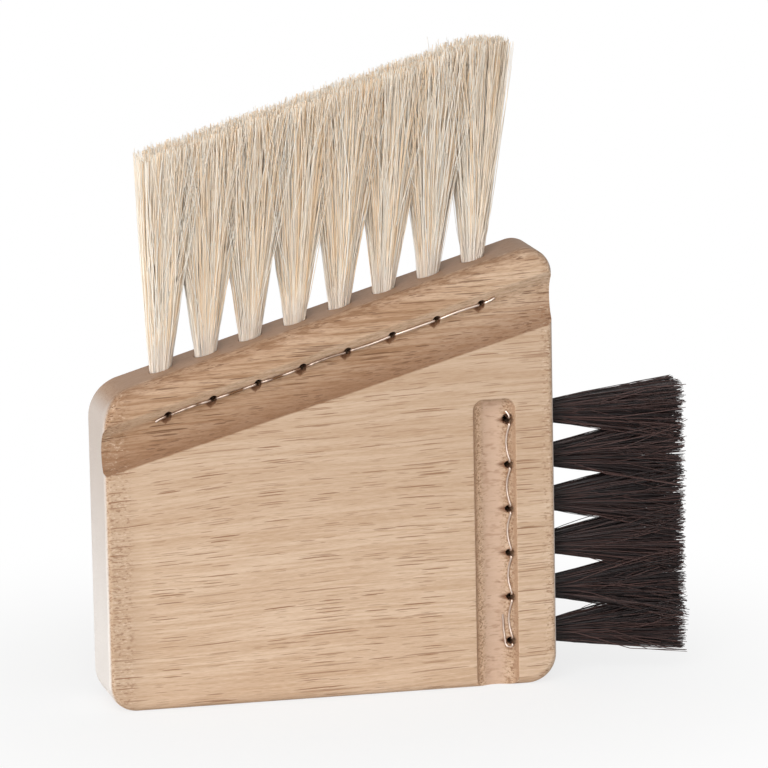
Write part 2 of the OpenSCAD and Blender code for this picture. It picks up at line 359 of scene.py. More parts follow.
def blank_rings():
    """Rings of the block's skin from its front face to its back, rounded at the arrises."""
    quarter = math.pi / 2
    # Sharp corner, heading of the edge's outside before and after it, radius, and both arrises
    corners = (
        (Vector((-RIGHT, LEFT_H)), 2 * quarter, quarter + SLOPE, 7.0, SIDE_ARRIS_R, TOP_ARRIS_R),
        (Vector((RIGHT, RIGHT_H)), quarter + SLOPE, 0, 4.0, TOP_ARRIS_R, SIDE_ARRIS_R),
        (Vector((RIGHT, 0)), 0, -quarter, 5.0, SIDE_ARRIS_R, BOTTOM_ARRIS_R),
        (Vector((-RIGHT, 0)), -quarter, -2 * quarter, 5.0, BOTTOM_ARRIS_R, SIDE_ARRIS_R))
    turns = [quarter * i / ARRIS_STEPS for i in range(ARRIS_STEPS + 1)]
    rings = []
    for side, order in ((-1, turns[::-1]), (1, turns)):
        for turn in order:
            ring = []
            for sharp, start, end, radius, first_r, last_r in corners:
                meet = heading(start) + heading(end)
                centre = sharp - radius * meet / (1 + heading(start).dot(heading(end)))
                for i in range(OUTLINE_STEPS + 1):
                    share = i / OUTLINE_STEPS
                    arris = first_r + (last_r - first_r) * share
                    flat = centre + (radius - arris * (1 - math.cos(turn))) \
                        * heading(start + (end - start) * share)
                    ring.append((flat[0], side * (BLOCK_T / 2 - arris * (1 - math.sin(turn))), flat[1]))
            rings.append(ring)
    return rings


def cut_depth_at(inset, clear=0.0):
    """Depth of a cut at a distance in from its edge, or of a line that stays clear of its surface."""
    return math.sqrt((CUTTER_R - clear) ** 2 - (CUT_W / 2 - inset) ** 2) - CUTTER_R + CUT_DEPTH


def cut_levels():
    """Depth and half width of a cut, from above the face, over the eased edge, down to the bottom."""
    levels = [(depth, CUT_W / 2 + out) for depth, out in EASED_EDGE]
    first = math.acos(1 - (CUT_DEPTH - FIRST_CUT_DEPTH) / CUTTER_R)
    for i in range(CUT_STEPS + 1):
        turn = first * (1 - i / CUT_STEPS)
        half = max(CUTTER_R * math.sin(turn), LEAST_HALF)
        levels.append((CUT_DEPTH - CUTTER_R * (1 - math.cos(turn)), half))
    return levels


def groove_rings():
    """The groove runs out of both sides of the block, and gets a little wider towards the right.

    Its upper edge, where the wire lies, is sanded over.
    """
    start, end = -GROOVE_RUN_OUT, BLOCK_W + GROOVE_RUN_OUT
    rings = []
    for depth, half in cut_levels():
        upper = half + GROOVE_SANDED * max(1 - max(depth, 0) / GROOVE_SANDED_DEPTH, 0) ** 2
        # Widened in proportion, so that the narrow rings at the bottom don't turn over
        lower_start, lower_end = (
            -half * (1 + along / BLOCK_W * GROOVE_SPREAD / (CUT_W / 2)) for along in (start, end))
        ring = []
        for along, out in ((start, upper), (end, upper), (end, lower_end), (start, lower_start)):
            flat = Vector((-RIGHT, 0, LEFT_H)) + along * ALONG_TOP + (out - TOP_LAND - CUT_W / 2) * OUT_OF_TOP
            ring.append((flat[0], FRONT + depth, flat[2]))
        rings.append(ring)
    return rings


def slot_rings():
    """The slot runs out of the bottom edge, and its upper end has rounded corners and a rounded foot."""
    rings = []
    for depth, half in cut_levels():
        sunk = min(max((depth - CUT_DEPTH + SLOT_FOOT_R) / SLOT_FOOT_R, 0), 1)
        foot = SLOT_FOOT_R * (1 - math.sqrt(1 - sunk ** 2))
        eased = max(half - CUT_W / 2, 0)
        radius = min(max(SLOT_END_R + eased - foot, 0.3), 0.95 * half)
        end = SLOT_END_H - foot + eased
        ring = [(SLOT_MIDDLE + half, FRONT + depth, -SLOT_RUN_OUT),
                (SLOT_MIDDLE - half, FRONT + depth, -SLOT_RUN_OUT)]
        for middle, first in ((-half + radius, math.pi), (half - radius, math.pi / 2)):
            for i in range(SLOT_CORNER_STEPS + 1):
                turn = first - math.pi / 2 * i / SLOT_CORNER_STEPS
                ring.append((SLOT_MIDDLE + middle + radius * math.cos(turn), FRONT + depth,
                             end - radius + radius * math.sin(turn)))
        rings.append(ring)
    return rings


def rods(name, items, sides):
    """Round cutters in one mesh. Each has its two ends and the radius at both."""
    mesh = bmesh.new()
    for start, end, start_r, end_r in items:
        axis = end - start
        place = Matrix.Translation((start + end) / 2 * MM) @ axis.to_track_quat("Z", "Y").to_matrix().to_4x4()
        bmesh.ops.create_cone(mesh, cap_ends=True, segments=sides, radius1=start_r * MM,
                              radius2=end_r * MM, depth=axis.length * MM, matrix=place)
    data = bpy.data.meshes.new(name)
    mesh.to_mesh(data)
    mesh.free()
    return data


def as_plain_mesh(thing, name):
    """The object with its modifiers worked in, as a new object at the origin."""
    bpy.context.view_layer.update()
    seen_now = thing.evaluated_get(bpy.context.evaluated_depsgraph_get())
    mesh = bpy.data.meshes.new_from_object(seen_now)
    mesh.name = name
    plain = bpy.data.objects.new(name, mesh)
    bpy.context.scene.collection.objects.link(plain)
    bpy.data.objects.remove(thing)
    return plain


def torn_mouths():
    """The drill tore the mouth of each hole open, away from its tuft, and most at the top of the slot.

    The last mouth overlaps another one, so it needs a cutter of its own.
    """
    mouths = []
    for eye in light_eyes:
        surface = eye + (FRONT + cut_depth_at(TOP_HOLE_INSET)) * BACK
        tip = surface - 0.5 * BACK - 0.9 * OUT_OF_TOP - 0.5 * ALONG_TOP
        mouths.append((surface + 1.5 * BACK, tip, 0.4, 1.25))
    for eye in dark_eyes:
        surface = eye + (FRONT + cut_depth_at(SIDE_HOLE_INSET)) * BACK
        tip_depth = FRONT + cut_depth_at(SIDE_HOLE_INSET + TORN_REACH) - 0.05
        tip = eye + tip_depth * BACK - TORN_REACH * OUT_RIGHT - 0.3 * UP
        mouths.append((surface + 0.15 * BACK, tip, 0.6, 0.1))
    surface = dark_eyes[0] + (FRONT + cut_depth_at(SIDE_HOLE_INSET)) * BACK
    widest = (surface + 1.5 * BACK, surface - 0.5 * BACK - 0.3 * OUT_RIGHT + 0.3 * UP, 0.8, 1.05)
    return mouths, widest


def carve_block():
    bores = [(m + BORE_RUN_OUT * out, m - BORE_DEPTH * out, BORE_R, BORE_R)
             for row, out in ((light_mouths, UP), (dark_mouths, OUT_RIGHT)) for m in row]
    holes = [(e + DRAW_HOLE_PAST_EYE * BACK, e + (FRONT - DRAW_HOLE_RUN_OUT) * BACK, DRAW_HOLE_R, DRAW_HOLE_R)
             for e in light_eyes + dark_eyes]
    mouths, widest = torn_mouths()
    block = bpy.data.objects.new("carved", loft("carved", blank_rings()))
    bpy.context.scene.collection.objects.link(block)
    cutters = (
        loft("groove", groove_rings()), loft("slot", slot_rings()),
        rods("bores", bores, 48), rods("holes", holes, 28), rods("mouths", mouths, 24),
        rods("widest_mouth", [widest], 24))
    for data in cutters:
        cutter = bpy.data.objects.new(data.name, data)
        bpy.context.scene.collection.objects.link(cutter)
        carve = block.modifiers.new(data.name, "BOOLEAN")
        carve.operation = "DIFFERENCE"
        carve.solver = "EXACT"
        carve.object = cutter
    carved = as_plain_mesh(block, "carved")
    for data in cutters:
        bpy.data.objects.remove(bpy.data.objects[data.name])
    carved.data.shade_smooth()
    carved.data.set_sharp_from_angle(angle=SHARP_ANGLE)
    weigh = carved.modifiers.new("weigh", "WEIGHTED_NORMAL")
    weigh.keep_sharp = True
    return as_plain_mesh(carved, "wood_block")


WOOD_COLOURS = {
    "pale": (218, 191, 165), "tan": (200, 169, 140), "band": (194, 161, 131),
    "pale fibre": (236, 216, 194), "dark fibre": (160, 126, 98), "painted_shade": (160, 130, 104),
    "cut": (170, 130, 96), "oiled brown and painted shade": (122, 84, 54), "top": (154, 121, 97),
    "slot floor": (208, 178, 156), "slot patch": (170, 132, 106),
    "slot left wall painted light": (242, 210, 178), "slot rough": (152, 113, 83),
    "torn pale": (232, 212, 190), "pore": (144, 103, 73), "groove pore": (112, 78, 54),
    "end": (180, 146, 118), "end low painted light": (236, 229, 223), "end high painted shade": (206, 193, 183),
    "painted_dent_shade": (130, 91, 65), "groove hole": (104, 70, 48), "slot hole": (48, 33, 26)}
GRAIN_CLIMB = 0.035
DENT_SHADE_HALF = 1.15
DENT_SHADE_TAIL = 2.8
WOOD_BUMP = 0.00008


class Wood:
    """Pale oak or ash: straight grain along X with short dark pores, sanded and given a light coat of oil.

    Places are in millimetres. A region is a share, from 0 outside it to 1 well inside it.
    """

    def __init__(self, tree):
        self.tree = tree
        self.colours = {name: linear(*screen) for name, screen in WOOD_COLOURS.items()}
        place = tree.place()
        self.facing = tree.add("ShaderNodeSeparateXYZ", None, {0: place.other("Normal")})
        self.x = tree.add("ShaderNodeSeparateXYZ", None, {0: tree.scaled(place, 1 / MM)})
        self.y, self.z = self.x.other("Y"), self.x.other("Z")
        self.axes = (self.x, self.y, self.z)
        self.grow()
        self.divide()

    def noise(self, axes, sizes, detail, roughness=0.5):
        """Noise with a size of its own along each of three axes."""
        where = self.tree.vector(*(axis / size for axis, size in zip(axes, sizes)))
        return self.tree.noise(where, detail, roughness)

    def pores(self, length, width, least, most):
        """Long thin holes in the wood: dashes on a face along the grain, dots across it."""
        x, back, up = self.grain
        cell = self.tree.add(
            "ShaderNodeTexVoronoi", {"voronoi_dimensions": "3D", "feature": "F1"},
            {"Vector": self.tree.vector(x / length, back / width, up / width), "Scale": 1.0}, "Distance")
        chance = self.tree.add("ShaderNodeSeparateColor", None, {0: cell.other("Color")})
        size = least + (most - least) * chance
        return (size - cell).rise(0.0, 0.05) * (0.35 + 0.65 * chance.other("Green"))

    def grow(self):
        """The grain climbs a little from left to right, and wanders on its way."""
        x, y, z = self.axes
        wander = self.noise(self.axes, (70, 40, 24), 1.0) - 0.5
        ripple = self.noise(self.axes, (14, 10, 5), 1.0) - 0.5
        back = y + wander * 3.0
        self.grain = (x, back, z - x * GRAIN_CLIMB + wander * 4.0 + ripple * 0.4)
        self.fibre = self.noise(self.grain, (1.6, 0.16, 0.16), 2.0, 0.6)
        self.streak = self.noise(self.grain, (18, 0.7, 0.5), 3.0, 0.6)
        self.band = self.noise(self.grain, (60, 8, 4), 2.0)
        speckle = self.noise((x, back, z), (0.7, 0.3, 0.3), 2.0)
        self.dark_speck, self.pale_speck = speckle.rise(0.55, 0.68), speckle.rise(0.42, 0.3)
        self.long_pores = self.pores(18.0, 0.36, -0.12, 0.36)
        self.middle_pores = self.pores(9.0, 0.31, -0.1, 0.36)
        self.short_pores = self.pores(4.2, 0.25, -0.1, 0.35)
        self.groove_pores = self.pores(13.0, 0.5, -0.15, 0.38)

    def divide(self):
        """Regions of the block, and distances in from the edges of the cuts."""
        x, y, z = self.axes
        self.below = (x + RIGHT) * math.sin(SLOPE) - (z - LEFT_H) * math.cos(SLOPE)
        self.in_groove = self.below - TOP_LAND
        self.in_slot = RIGHT - SIDE_LAND - x
        self.depth = y - FRONT

        self.end_grain = abs(self.facing).rise(0.6, 0.95)
        self.outside = abs(x).rise(33.5, 37.0)
        self.near_front = y.rise(-4.4, -5.0)
        from_lower_edge = TOP_LAND + CUT_W + GROOVE_SPREAD / BLOCK_W * (x + RIGHT) - self.below
        self.over_groove = from_lower_edge.rise(-0.15, 0.15) * self.near_front
        self.ridge = self.in_groove.rise(-1.0, -0.3) * self.in_groove.rise(1.8, 0.6)

        off_walls = self.in_slot.rise(1.2, 2.8) * self.in_slot.rise(CUT_W - 1.0, CUT_W - 2.6)
        self.slot_floor = (off_walls * z.rise(SLOT_END_H, SLOT_END_H - 1)
                           * self.depth.rise(0.6, 1.4) * self.near_front)
        self.in_slot_cut = (self.in_slot.rise(CUT_W + 0.6, CUT_W) * self.in_slot.rise(-0.3, 0.0)
                            * z.rise(SLOT_END_H + 1, SLOT_END_H))
        self.left_wall = (self.in_slot.rise(CUT_W - 2.2, CUT_W - 0.8) * self.in_slot_cut
                          * self.depth.rise(0.15, 0.5) * self.near_front)
        self.slot_wall = (self.in_slot_cut * self.depth.rise(0.05, 0.3)
                          * (1 - self.slot_floor) * self.near_front)
        # Torn fibre ends stand in two strips beside the arrises and on the walls of the slot
        torn = x.rise(-33.4, -35.2) + x.rise(35.6, 37.2)
        self.torn = self.tree.math("MINIMUM", torn + self.slot_wall, 1.0)

    def sunk(self, inset):
        """How far a place lies under the round surface of a cut."""
        middle = inset - CUT_W / 2
        round_y = self.tree.math("SQRT", self.tree.math("MAXIMUM", CUTTER_R ** 2 - middle * middle, 0.0))
        inside = inset.rise(0.4, 0.8) * inset.rise(3.6, 3.2)
        return inside * (self.depth - round_y + (CUTTER_R - CUT_DEPTH))

    def in_hole(self):
        """How far a place lies down a draw hole."""
        slot_hole = self.sunk(self.in_slot) * self.z.rise(SLOT_END_H, SLOT_END_H - 0.3)
        hole = self.tree.math("MAXIMUM", self.sunk(self.in_groove), slot_hole) * self.near_front
        return hole * abs(self.x).rise(38.3, 37.9) * self.z.rise(0.8, 1.6)

    def painted_dent_shade(self):
        """Painted shade of the torn dents at the holes: a diamond under each in the groove, a tail to the
        left in the slot.
        """
        row = (self.x + (RIGHT - LIGHT_START)) / (LIGHT_PITCH * math.cos(SLOPE))
        along = row.past_nearest() * LIGHT_PITCH + 0.35
        diamond = DENT_SHADE_HALF - abs(along) - abs(self.in_groove - TOP_HOLE_INSET - 0.5)
        diamond = (diamond.rise(0.0, 0.25) * row.rise(-0.5, -0.4)
                   * row.rise(LIGHT_COUNT - 0.5, LIGHT_COUNT - 0.6))
        column = (self.z - DARK_START) / DARK_PITCH
        beside = abs(column.past_nearest()) * DARK_PITCH
        left = (self.in_slot - SIDE_HOLE_INSET) / DENT_SHADE_TAIL
        tail = (DENT_SHADE_HALF * (1 - left) - beside).rise(0.0, 0.6) * left.rise(-0.3, 0.0) * left.rise(1.2, 0.4)
        tail = tail * self.in_slot_cut * column.rise(-0.5, -0.4)
        return self.tree.math("MAXIMUM", diamond, tail) * self.near_front

    def face_colour(self):
        """The surface along the grain, before its pores.

        The cuts and the strip above the groove are browner, with bolder grain. The lower wall of the groove
        is darkened with painted shade, and the face towards the top and the left end is darkened with painted
        shade too.
        """
        tree, colours, x, streak, fibre = self.tree, self.colours, self.x, self.streak, self.fibre
        over_groove, ridge, slot_floor = self.over_groove, self.ridge, self.slot_floor
        # Painted shade: the face darkens towards the top, and towards the left end.
        painted_shade = tree.math("MAXIMUM", self.z.rise(8.0, 62.0) * (1 - over_groove), x.rise(-29.0, -37.0))
        browner = over_groove * (1 - 0.75 * ridge) * (1 - 0.65 * x.rise(10.0, 34.0))
        # Painted shade: the groove's lower wall, which faces upwards, darkens towards the lower edge.
        painted_groove_shade = over_groove * self.in_groove.rise(1.2, CUT_W) * (0.5 + 0.2 * streak)
        oiled_streak = (over_groove * (1 - ridge) * streak.rise(0.52, 0.36) * 0.3
                        * (1 - 0.7 * x.rise(5.0, 34.0)))
        oiled_edge = self.below.rise(2.4, 0.2) * streak.rise(0.7, 0.35) * self.near_front * 0.5
        patch = self.noise(self.axes, (2.2, 2, 0.9), 2.0).rise(0.52, 0.7)
        rough_spot = self.noise(self.axes, (0.9, 0.9, 0.5), 2.0).rise(0.5, 0.64)
        return tree.coat(
            tree.mix(streak.rise(0.32, 0.62), colours["tan"], colours["pale"]),
            (self.band.rise(0.58, 0.4) * 0.45, colours["band"]),
            ((fibre - 0.5) * 0.9, colours["pale fibre"]),
            ((0.5 - fibre) * 0.9, colours["dark fibre"]),
            (painted_shade * 0.3, colours["painted_shade"]),
            (browner * (0.5 + 0.3 * streak.rise(0.62, 0.3)), colours["cut"]),
            (painted_groove_shade, colours["oiled brown and painted shade"]),
            (oiled_streak, colours["oiled brown and painted shade"]),
            (oiled_edge, colours["oiled brown and painted shade"]),
            (slot_floor * 0.7, colours["slot floor"]),
            # Painted light: the slot's left wall, which lies in shade, is lightened.
            (self.left_wall * 0.5, colours["slot left wall painted light"]),
            (slot_floor * patch * 0.5, colours["slot patch"]),
            (self.torn * self.dark_speck * (0.6 + 0.25 * self.slot_wall), colours["pore"]),
            (self.torn * self.pale_speck * 0.4, colours["torn pale"]),
            (self.slot_wall * rough_spot * 0.6, colours["slot rough"]),
            (over_groove * (0.5 - fibre) * 1.5, colours["oiled brown and painted shade"]))

    def colour(self):
        """The face with its pores, the end grain, the upper edge, and painted shade at the dents and down the
        holes.
        """
        tree, colours = self.tree, self.colours
        pore_tone = tree.mix(self.over_groove, colours["pore"], colours["groove pore"])
        open_pores = 0.9 - 0.5 * self.slot_floor - 0.7 * self.ridge
        # Painted light and shade: the pale end grain is lighter towards the bottom and darker towards the
        # top.
        end_painted_light = tree.mix(self.z.rise(10.0, 50.0), colours["end low painted light"], colours["end high painted shade"])
        ends = tree.coat(
            tree.mix(self.outside, colours["end"], end_painted_light),
            (self.dark_speck * (1 - self.outside * 0.7) * 0.5, colours["pore"]))
        # Faces turned upwards get a darker grey-brown: partly the sawn edge's own tone, partly painted shade.
        upper = self.facing.other("Z").rise(0.2, 0.95)
        hole = self.in_hole()
        return tree.coat(
            self.face_colour(),
            (self.long_pores * open_pores, pore_tone),
            (self.middle_pores * open_pores, pore_tone),
            (self.short_pores * open_pores * 0.6, pore_tone),
            (self.groove_pores * self.over_groove * open_pores, pore_tone),
            (self.end_grain, ends),
            (upper * (1 - self.near_front * 0.6) * 0.75, colours["top"]),
            # Painted shade in the torn dents at the holes and in the mouths of the holes.
            (self.painted_dent_shade() * 0.8, colours["painted_dent_shade"]),
            (hole.rise(0.08, 0.4) * 0.85, colours["painted_dent_shade"]),
            # Painted shade deep down the draw holes: brown in the groove's holes, near black in the slot's.
            (hole.rise(0.8, 2.0), tree.mix(self.in_slot_cut, colours["groove hole"], colours["slot hole"])))

    def height(self):
        """Fine relief: fibres stand up a little, pores and torn ends lie deeper."""
        return (self.fibre * 0.5 + self.streak * 0.2 - self.long_pores - self.middle_pores
                - self.short_pores * 0.6 - self.dark_speck * self.torn)


def wood_finish():
    material, tree = new_material("wood")
    wood = Wood(tree)
    bump = tree.add("ShaderNodeBump", None,
                    {"Strength": 0.5, "Distance": WOOD_BUMP, "Height": wood.height()})
    shader = tree.add("ShaderNodeBsdfPrincipled", None, {
        "Base Color": wood.colour(), "Roughness": 0.66 - 0.12 * wood.fibre,
        "Specular IOR Level": 0.25, "Normal": bump})
    tree.add("ShaderNodeOutputMaterial", None, {"Surface": shader})
    return material


block = carve_block()
block.data.materials.clear()
block.data.materials.append(wood_finish())
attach(block, "root")
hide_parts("block")


# Tufts: each is a bundle of hair folded double over the draw wire and pulled into its bore.
# It fans out from the bore until it meets its neighbours, and the tips are trimmed parallel to the wood.
BORE_HAIR_R = 1.8
HAIR_ROOT = 5.6
HAIR_POINTS = 11
HAIR_SIDES = 3
HAIR_GLOSS = 0.36
GOLDEN_ANGLE = math.pi * (3 - math.sqrt(5))
WHOLE_TURN = 6.28
LOCKS = 2.6
# Half the width of a tuft's fan inside its row, and on the row's outer sides
LIGHT_HALF, LIGHT_END_HALF = 5.8, 3.9
DARK_HALF, DARK_END_HALF = 5.2, 4.1
LIGHT_HAIR = {
    "hairs": 1000, "length": 37.0, "deep_half": 4.4, "fan_power": 1.1, "hair_radius": 0.075, "wander": 0.9,
    "ragged": 0.6, "scallop": 1.1, "stray": 3.0, "crossing": 15.0}
DARK_HAIR = {
    "hairs": 700, "length": 23.5, "deep_half": 4.2, "fan_power": 1.1, "hair_radius": 0.08, "wander": 0.8,
    "ragged": 0.35, "scallop": 0.15, "stray": 2.5, "crossing": 10.0, "lean": 0.0, "rise": 0.0}
LIGHT_LEAN_FIRST = 1.5
LIGHT_LEAN_GAIN = 2.5
LIGHT_SEED = 40
DARK_SEED = 400
SEED_STEP = 7
TUFT_INPUTS = (
    ("Hairs", "Int"), ("Length", "Float"), ("Low half", "Float"), ("High half", "Float"),
    ("Deep half", "Float"), ("Fan power", "Float"), ("Lean", "Float"), ("Rise", "Float"),
    ("Hair radius", "Float"), ("Wander", "Float"), ("Ragged", "Float"), ("Scallop", "Float"),
    ("Stray", "Float"), ("Crossing", "Float"), ("Seed", "Int"), ("Finish", "Material"))


def tuft_tree():
    """Hairs from a sunflower pattern in the bore, in millimetres, with the mouth at the origin."""
    group = bpy.data.node_groups.new("tuft", "GeometryNodeTree")
    for name, kind in TUFT_INPUTS:
        group.interface.new_socket(name, in_out="INPUT", socket_type="NodeSocket" + kind)
    group.interface.new_socket("Tuft", in_out="OUTPUT", socket_type="NodeSocketGeometry")
    tree = Tree(group)
    given = tree.add("NodeGroupInput")
    hairs, length, seed = given, given.other("Length"), given.other("Seed")
    low_half, high_half, deep_half = (given.other(name) for name in ("Low half", "High half", "Deep half"))

    line = tree.add("GeometryNodeCurvePrimitiveLine", None, {"Start": (0, 0, 0), "End": (0, 0, 1)})
    line = tree.add("GeometryNodeResampleCurve", None, {"Curve": line, "Count": HAIR_POINTS})
    points = tree.add("GeometryNodePoints", None, {"Count": hairs})
    grown = tree.add("GeometryNodeInstanceOnPoints", None, {"Points": points, "Instance": line})
    grown = tree.add("GeometryNodeRealizeInstances", None, {0: grown})
    number = tree.add("GeometryNodeCurveOfPoint", None, None, "Curve Index")
    draws = 0

    def drawn(low, high, owner, draw):
        """A random number that is the same wherever the owner's number is."""
        return tree.add("FunctionNodeRandomValue", {"data_type": "FLOAT"},
                        {"Min_001": low, "Max_001": high, "ID": owner, "Seed": seed + draw}, "Value_001")

    def chance(low=0.0, high=1.0):
        """A number that is the same all along one hair. The order of these calls sets the hairs."""
        nonlocal draws
        draws += 1
        return drawn(low, high, number, draws)

    reach = tree.math("SQRT", (number + 0.5) / hairs)
    turn = number * GOLDEN_ANGLE + chance(-0.2, 0.2)
    disc_across = reach * tree.math("COSINE", turn)
    disc_deep = reach * tree.math("SINE", turn)

    # Some hairs are shorter than the rest, and the outer ones end a little lower
    short = chance().rise(0.8, 1.0) * chance(0.0, 0.3)
    own_length = length * (1 - short) - given.other("Scallop") * disc_across * disc_across
    own_length = own_length + chance(-1.0, 0.3) * given.other("Ragged")
    share = tree.add("GeometryNodeSplineParameter") ** 1.15
    height = share * (own_length + HAIR_ROOT) - HAIR_ROOT
    free = tree.math("MAXIMUM", height / length, 0.0)
    open_share = 1 - tree.math("MAXIMUM", 1 - free, 0.0) ** given.other("Fan power")
    # The round bundle spreads into a squarer one, which closes the row
    square = 1 + 0.38 * free * abs(tree.math("SINE", 2 * turn))
    across, deep = disc_across * square, disc_deep * square

    def fanned(half):
        """Half the bundle's width at this height, on its way from the bore to the half that is given."""
        return BORE_HAIR_R + (half - BORE_HAIR_R) * open_share

    side_half = fanned(low_half + (high_half - low_half) * across.rise(-0.2, 0.2))
    # Inside the bore the hair draws in towards its fold
    neck = 1 - 0.45 * tree.math("MAXIMUM", height / -HAIR_ROOT, 0.0)

    # Hairs lie in loose locks, and some stray across their neighbours
    lock_across, lock_deep = (tree.math("FLOOR", place * LOCKS) for place in (across, deep))
    lock_x, lock_y = ((lock + 0.5) / LOCKS for lock in (lock_across, lock_deep))
    lock_number = lock_across * 7 + lock_deep * 53
    gather = free * 0.1

    def lock_chance(shift):
        return drawn(-1.0, 1.0, lock_number, shift)

    wander = given.other("Wander")
    stray = 1 + chance().rise(0.65, 1.0) * given.other("Stray")
    bow = tree.math("SINE", free * math.pi)
    wave_x = tree.math("SINE", free * 7 + chance(0.0, WHOLE_TURN)) * 0.2 * tree.math("SQRT", free)
    apart = free ** 1.4

    def sway(shift):
        """Sideways drift of one hair and of its lock, in one direction."""
        own = chance(-1.0, 1.0) * stray * apart + chance(-0.45, 0.45) * bow * stray
        return (own + lock_chance(shift) * free * 0.4) * wander

    x = (across + (lock_x - across) * gather) * side_half * neck + sway(101) + wave_x * wander
    # A few cut across at a steeper slant from part of the way up
    crosses = chance().rise(0.88, 0.92)
    slant = chance(-1.0, 1.0) * tree.math("MAXIMUM", free - chance(0.05, 0.6), 0.0)
    x = x + crosses * slant * given.other("Crossing")
    # Strays reach over a neighbour, but not past the end of the row
    low_reach, high_reach = (
        chance(0.85, 1.06) + free * 0.2 * (half - 4.2) for half in (low_half, high_half))
    x = tree.math("MAXIMUM", x, -low_reach * fanned(low_half))
    x = tree.math("MINIMUM", x, high_reach * fanned(high_half))
    x = x + given.other("Lean") * height
    y = ((deep + (lock_y - deep) * gather) * fanned(deep_half) * neck * (0.93 + 0.07 * stray)
         + sway(102) * 0.6)
    y = y * (1 + 0.2 * crosses * free)
    position = tree.vector(x, y, height + given.other("Rise") * x)
    grown = tree.add("GeometryNodeSetPosition", None, {"Geometry": grown, "Position": position})

    thin = given.other("Hair radius") * (1 - 0.3 * free) * chance(0.65, 1.3)
    tone = tree.math("MAXIMUM", chance(), crosses * 0.9)
    for name, value in (("tone", tone), ("free", free), ("lock", lock_chance(103))):
        grown = tree.add("GeometryNodeStoreNamedAttribute", {"data_type": "FLOAT", "domain": "POINT"},
                         {"Geometry": grown, "Name": name, "Value": value})
    section = tree.add("GeometryNodeCurvePrimitiveCircle", None, {"Resolution": HAIR_SIDES, "Radius": 1.0})
    tubes = tree.add("GeometryNodeCurveToMesh", None,
                     {"Curve": grown, "Profile Curve": section, "Scale": thin, "Fill Caps": True})
    tubes = tree.add("GeometryNodeSetShadeSmooth", None, {"Geometry": tubes, "Shade Smooth": True})
    tubes = tree.add("GeometryNodeRealizeInstances", None, {0: tubes})
    tubes = tree.add("GeometryNodeSetMaterial", None, {"Geometry": tubes, "Material": given.other("Finish")})
    tree.add("NodeGroupOutput", None, {"Tuft": tubes})
    return group


def hair_finish(name, shades, gloss, root_shade):
    """Hair with its own tone in each strand, darker where it goes into the wood."""
    material, tree = new_material(name)
    low, middle, high = shades

    def read(attribute):
        return tree.add("ShaderNodeAttribute", {"attribute_name": attribute}, None, "Fac")

    tone = read("tone")
    mottle = tree.noise(tree.scaled(tree.place(), 1 / MM), 2.0)
    colour = tree.coat(
        tree.mix(tone.rise(0.0, 0.45), low, middle),
        (tone.rise(0.5, 1.0), high),
        (read("lock").rise(0.2, 1.0) * 0.25, low),
        ((1 - read("free").rise(0.0, 0.12)) * 0.6, root_shade),
        (mottle.rise(0.4, 0.8) * 0.2, middle))
    shader = tree.add("ShaderNodeBsdfPrincipled", None, {
        "Base Color": colour, "Roughness": gloss + 0.15 * tone, "Specular IOR Level": 0.5})
    tree.add("ShaderNodeOutputMaterial", None, {"Surface": shader})
    return material


tuft_nodes = tuft_tree()


def grow_tuft(name, node, slot, place, **sizes):
    """One tuft as a plain mesh at its bore."""
    seedling = bpy.data.objects.new("seedling", bpy.data.meshes.new("seedling"))
    bpy.context.scene.collection.objects.link(seedling)
    grow = seedling.modifiers.new("grow", "NODES")
    grow.node_group = tuft_nodes
    for item in tuft_nodes.interface.items_tree:
        if item.in_out == "INPUT":
            grow[item.identifier] = sizes[item.name.lower().replace(" ", "_")]
    tuft = as_plain_mesh(seedling, name)
    tuft.data.transform(place @ Matrix.Scale(MM, 4))
    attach(tuft, "root")
    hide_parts(node)


light_hair = hair_finish(
    "light_hair", (linear(250, 218, 178), linear(255, 241, 222), linear(255, 251, 242)), HAIR_GLOSS,
    linear(240, 230, 220))
for k, mouth in enumerate(light_mouths):
    last = k == LIGHT_COUNT - 1
    lean = math.radians(LIGHT_LEAN_FIRST + LIGHT_LEAN_GAIN * k / (LIGHT_COUNT - 1))
    grow_tuft(
        f"light_hair_{k + 1}", f"light_tuft_{k + 1}", "light_hair", Matrix.Translation(mouth * MM),
        low_half=LIGHT_END_HALF if k == 0 else LIGHT_HALF, high_half=LIGHT_END_HALF if last else LIGHT_HALF,
        lean=math.tan(lean), rise=0.05 if last else math.tan(SLOPE),
        seed=LIGHT_SEED + SEED_STEP * k, finish=light_hair, **LIGHT_HAIR)

dark_hair = hair_finish(
    "dark_hair", (linear(24, 16, 17), linear(42, 30, 30), linear(88, 62, 57)), HAIR_GLOSS,
    linear(14, 10, 10))
# Local Z of a dark tuft points out of the right side, and its X runs down that side
turn_right = Matrix.Rotation(math.pi / 2, 4, "Y")
for k, mouth in enumerate(dark_mouths):
    last = k == DARK_COUNT - 1
    grow_tuft(
        f"dark_hair_{k + 1}", f"dark_tuft_{k + 1}", "dark_hair", Matrix.Translation(mouth * MM) @ turn_right,
        low_half=DARK_END_HALF if k == 0 else DARK_HALF, high_half=DARK_END_HALF if last else DARK_HALF,
        seed=DARK_SEED + SEED_STEP * k, finish=dark_hair, **DARK_HAIR)


# Draw wires: one soft bright wire for each row, laid along the groove or the slot.
# At each hole it dips in as a hairpin round the fold of the hair, and comes out again.
WIRE_R = 0.2
WIRE_CLEAR = 0.08
WIRE_TAIL = 1.6
WIRE_BOW = 0.5
RETURN_GAP = 1.4
PIN_HALF = 0.5
PIN_BEND_R = 0.28
PIN_REACH = PIN_HALF + PIN_BEND_R
PIN_STEPS = 4


def lie(inset):
    """Depth at which a wire lies in a cut, at a distance in from the cut's edge."""
    return cut_depth_at(inset, WIRE_R + WIRE_CLEAR)


